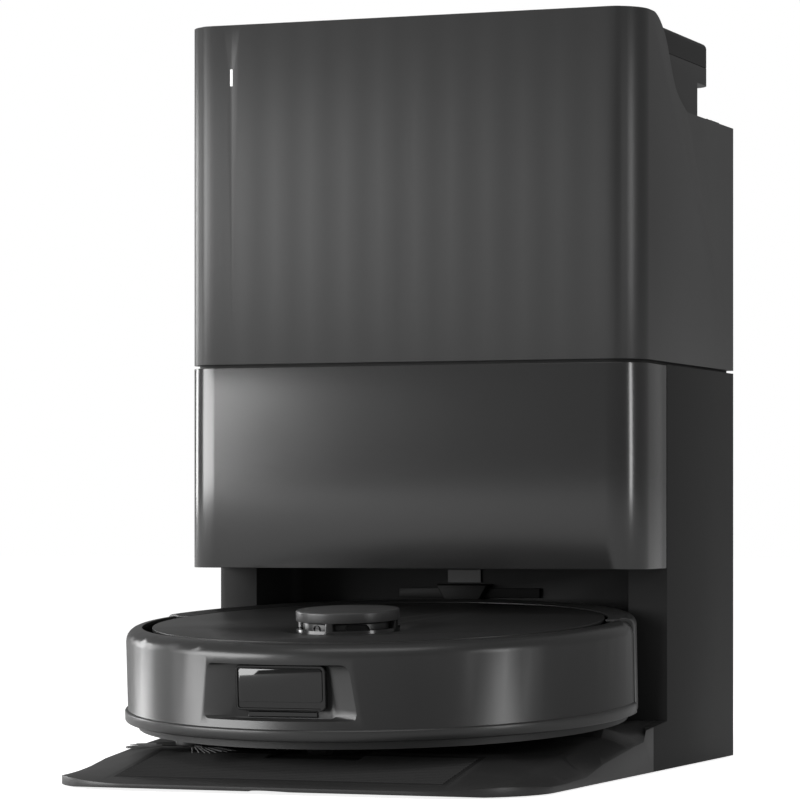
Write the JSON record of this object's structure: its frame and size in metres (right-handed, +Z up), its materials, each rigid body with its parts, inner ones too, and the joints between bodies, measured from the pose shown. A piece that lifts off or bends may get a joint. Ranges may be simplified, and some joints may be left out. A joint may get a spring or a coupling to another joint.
{
  "type": "robot vacuum",
  "caption": "Round robot vacuum and mop parked on the ramp of its tall emptying and washing station, with lift-out tanks.",
  "frame": {"origin": "on the floor, at the middle of the footprint", "axes": "+X to the right seen from the front, -Y towards the person, +Z up"},
  "size_m": [0.35, 0.484, 0.521],
  "materials": {
    "base_plastic": "satin",
    "ramp_rubber": "satin",
    "tray_plastic": "satin",
    "rubber": "satin",
    "side_plastic": "satin",
    "shell_plastic": "satin",
    "light": "gloss",
    "deck_plastic": "satin",
    "cover_plastic": "gloss",
    "dark_plastic": "satin",
    "window": "gloss",
    "contact_metal": "gloss",
    "bag_fabric": "satin",
    "inner_plastic": "satin",
    "circuit": "satin",
    "screw_steel": "gloss",
    "tank_plastic": "gloss",
    "tank_lid_plastic": "satin",
    "bumper_plastic": "gloss",
    "lid_gloss": "gloss",
    "button_plastic": "gloss",
    "lidar_plastic": "gloss",
    "wheel_rubber": "satin",
    "bristle": "satin",
    "mop_fabric": "satin",
    "battery_wrap": "satin"
  },
  "bodies": {
    "dock": {"base_tray": "base_plastic", "ramp_pad": "ramp_rubber", "wash_tray": "tray_plastic", "rubber_feet": "rubber", "lower_housing": "side_plastic", "upper_housing": "shell_plastic", "status_light": "light", "rear_deck": "deck_plastic", "dust_port": "dark_plastic", "ir_window": "window", "side_guides": "dark_plastic", "bag_collar": "dark_plastic", "dust_bag": "bag_fabric", "dust_duct": "dark_plastic", "fan_housing": "inner_plastic", "clean_pump": "inner_plastic", "dirty_pump": "inner_plastic", "power_supply": "inner_plastic", "main_board": "circuit", "power_inlet": "inner_plastic", "housing_screws": "screw_steel"},
    "front_cover": {"front_cover": "cover_plastic"},
    "fan_rotor": {"fan_rotor": "inner_plastic"},
    "contact_left": {"charge_contact_left": "contact_metal"},
    "contact_right": {"charge_contact_right": "contact_metal"},
    "clean_tank": {"clean_tank": "tank_plastic"},
    "clean_lid": {"clean_tank_lid": "tank_lid_plastic"},
    "clean_handle": {"clean_tank_handle": "tank_lid_plastic"},
    "dirty_tank": {"dirty_tank": "tank_plastic"},
    "dirty_lid": {"dirty_tank_lid": "tank_lid_plastic"},
    "dirty_handle": {"dirty_tank_handle": "tank_lid_plastic"},
    "robot": {"robot_chassis": "inner_plastic", "rear_shell": "bumper_plastic", "top_lid": "lid_gloss", "lidar_base": "lidar_plastic", "lidar_cap": "lid_gloss", "brush_cover": "inner_plastic", "dustbin": "inner_plastic", "robot_fan": "inner_plastic", "robot_battery": "battery_wrap", "robot_board": "circuit", "robot_motors": "screw_steel"},
    "bumper": {"bumper": "bumper_plastic", "sensor_window": "window"},
    "lidar": {"lidar_rotor": "lidar_plastic"},
    "power_button": {"power_button": "button_plastic"},
    "home_button": {"home_button": "button_plastic"},
    "arm_left": {"swing_arm_left": "inner_plastic"},
    "arm_right": {"swing_arm_right": "inner_plastic"},
    "wheel_left": {"wheel_left": "wheel_rubber"},
    "wheel_right": {"wheel_right": "wheel_rubber"},
    "caster_fork": {"caster_fork": "inner_plastic"},
    "caster_wheel": {"caster_wheel": "wheel_rubber"},
    "main_brush": {"main_brush": "wheel_rubber"},
    "side_brush": {"side_brush": "bristle"},
    "mop_left": {"mop_disc_left": "inner_plastic", "mop_pad_left": "mop_fabric"},
    "mop_right": {"mop_disc_right": "inner_plastic", "mop_pad_right": "mop_fabric"}
  },
  "joints": [
    {"name": "robot_drive_out", "type": "slide", "parent": "dock", "child": "robot", "axis": [0, -0.9994, -0.035], "range_m": [0, 0.38]},
    {"name": "cover_pull", "type": "slide", "parent": "dock", "child": "front_cover", "axis": [0, -1, 0], "range_m": [0, 0.09]},
    {"name": "fan_spin", "type": "hinge", "parent": "dock", "child": "fan_rotor", "pos_m": [0.095, 0.18, 0.21], "axis": [0, 1, 0], "continuous": true},
    {"name": "contact_left_press", "type": "slide", "parent": "dock", "child": "contact_left", "axis": [0, 1, 0], "range_m": [0, 0.003], "stiffness_N_per_m": 500},
    {"name": "contact_right_press", "type": "slide", "parent": "dock", "child": "contact_right", "axis": [0, 1, 0], "range_m": [0, 0.003], "stiffness_N_per_m": 500},
    {"name": "clean_tank_lift", "type": "slide", "parent": "dock", "child": "clean_tank", "axis": [0, 0, 1], "range_m": [0, 0.25]},
    {"name": "clean_lid_open", "type": "hinge", "parent": "clean_tank", "child": "clean_lid", "pos_m": [0.0805, 0.216, 0.5004], "axis": [-1, 0, 0], "range_deg": [0, 80]},
    {"name": "clean_handle_raise", "type": "hinge", "parent": "clean_lid", "child": "clean_handle", "pos_m": [0.0805, 0.116, 0.5125], "axis": [-1, 0, 0], "range_deg": [0, 90]},
    {"name": "dirty_tank_lift", "type": "slide", "parent": "dock", "child": "dirty_tank", "axis": [0, 0, 1], "range_m": [0, 0.25]},
    {"name": "dirty_lid_open", "type": "hinge", "parent": "dirty_tank", "child": "dirty_lid", "pos_m": [-0.0805, 0.216, 0.5004], "axis": [-1, 0, 0], "range_deg": [0, 80]},
    {"name": "dirty_handle_raise", "type": "hinge", "parent": "dirty_lid", "child": "dirty_handle", "pos_m": [-0.0805, 0.116, 0.5125], "axis": [-1, 0, 0], "range_deg": [0, 90]},
    {"name": "bumper_press", "type": "slide", "parent": "robot", "child": "bumper", "axis": [0, 0.998, 0.0628], "range_m": [0, 0.003], "stiffness_N_per_m": 800},
    {"name": "lidar_spin", "type": "hinge", "parent": "robot", "child": "lidar", "pos_m": [0, -0.10028, 0.09293], "axis": [0, -0.0628, 0.998], "continuous": true},
    {"name": "power_press", "type": "slide", "parent": "robot", "child": "power_button", "axis": [0, 0.0628, -0.998], "range_m": [0, 0.0008], "stiffness_N_per_m": 300},
    {"name": "home_press", "type": "slide", "parent": "robot", "child": "home_button", "axis": [0, 0.0628, -0.998], "range_m": [0, 0.0008], "stiffness_N_per_m": 300},
    {"name": "arm_left_lift", "type": "hinge", "parent": "robot", "child": "arm_left", "pos_m": [-0.09, -0.07943, 0.06418], "axis": [1, 0, 0], "range_deg": [0, 8], "stiffness_Nm_per_rad": 4},
    {"name": "wheel_left_roll", "type": "hinge", "parent": "arm_left", "child": "wheel_left", "pos_m": [-0.112, -0.02909, 0.06034], "axis": [1, 0, 0], "continuous": true},
    {"name": "arm_right_lift", "type": "hinge", "parent": "robot", "child": "arm_right", "pos_m": [0.09, -0.07943, 0.06418], "axis": [1, 0, 0], "range_deg": [0, 8], "stiffness_Nm_per_rad": 4},
    {"name": "wheel_right_roll", "type": "hinge", "parent": "arm_right", "child": "wheel_right", "pos_m": [0.112, -0.02909, 0.06034], "axis": [1, 0, 0], "continuous": true},
    {"name": "caster_swivel", "type": "hinge", "parent": "robot", "child": "caster_fork", "pos_m": [0, -0.15864, 0.04918], "axis": [0, -0.0628, 0.998], "continuous": true},
    {"name": "caster_roll", "type": "hinge", "parent": "caster_fork", "child": "caster_wheel", "pos_m": [0, -0.14959, 0.03272], "axis": [1, 0, 0], "continuous": true},
    {"name": "main_brush_spin", "type": "hinge", "parent": "robot", "child": "main_brush", "pos_m": [0, -0.09617, 0.04359], "axis": [1, 0, 0], "continuous": true},
    {"name": "side_brush_spin", "type": "hinge", "parent": "robot", "child": "side_brush", "pos_m": [-0.088, -0.15726, 0.02722], "axis": [0, -0.0628, 0.998], "continuous": true},
    {"name": "mop_left_spin", "type": "hinge", "parent": "robot", "child": "mop_left", "pos_m": [-0.066, 0.04821, 0.04215], "axis": [0, -0.0628, 0.998], "continuous": true},
    {"name": "mop_right_spin", "type": "hinge", "parent": "robot", "child": "mop_right", "pos_m": [0.066, 0.04821, 0.04215], "axis": [0, -0.0628, 0.998], "continuous": true}
  ],
  "couplings": [
    {"joint": "mop_right_spin", "follows": "mop_left_spin", "ratio": -1}
  ]
}
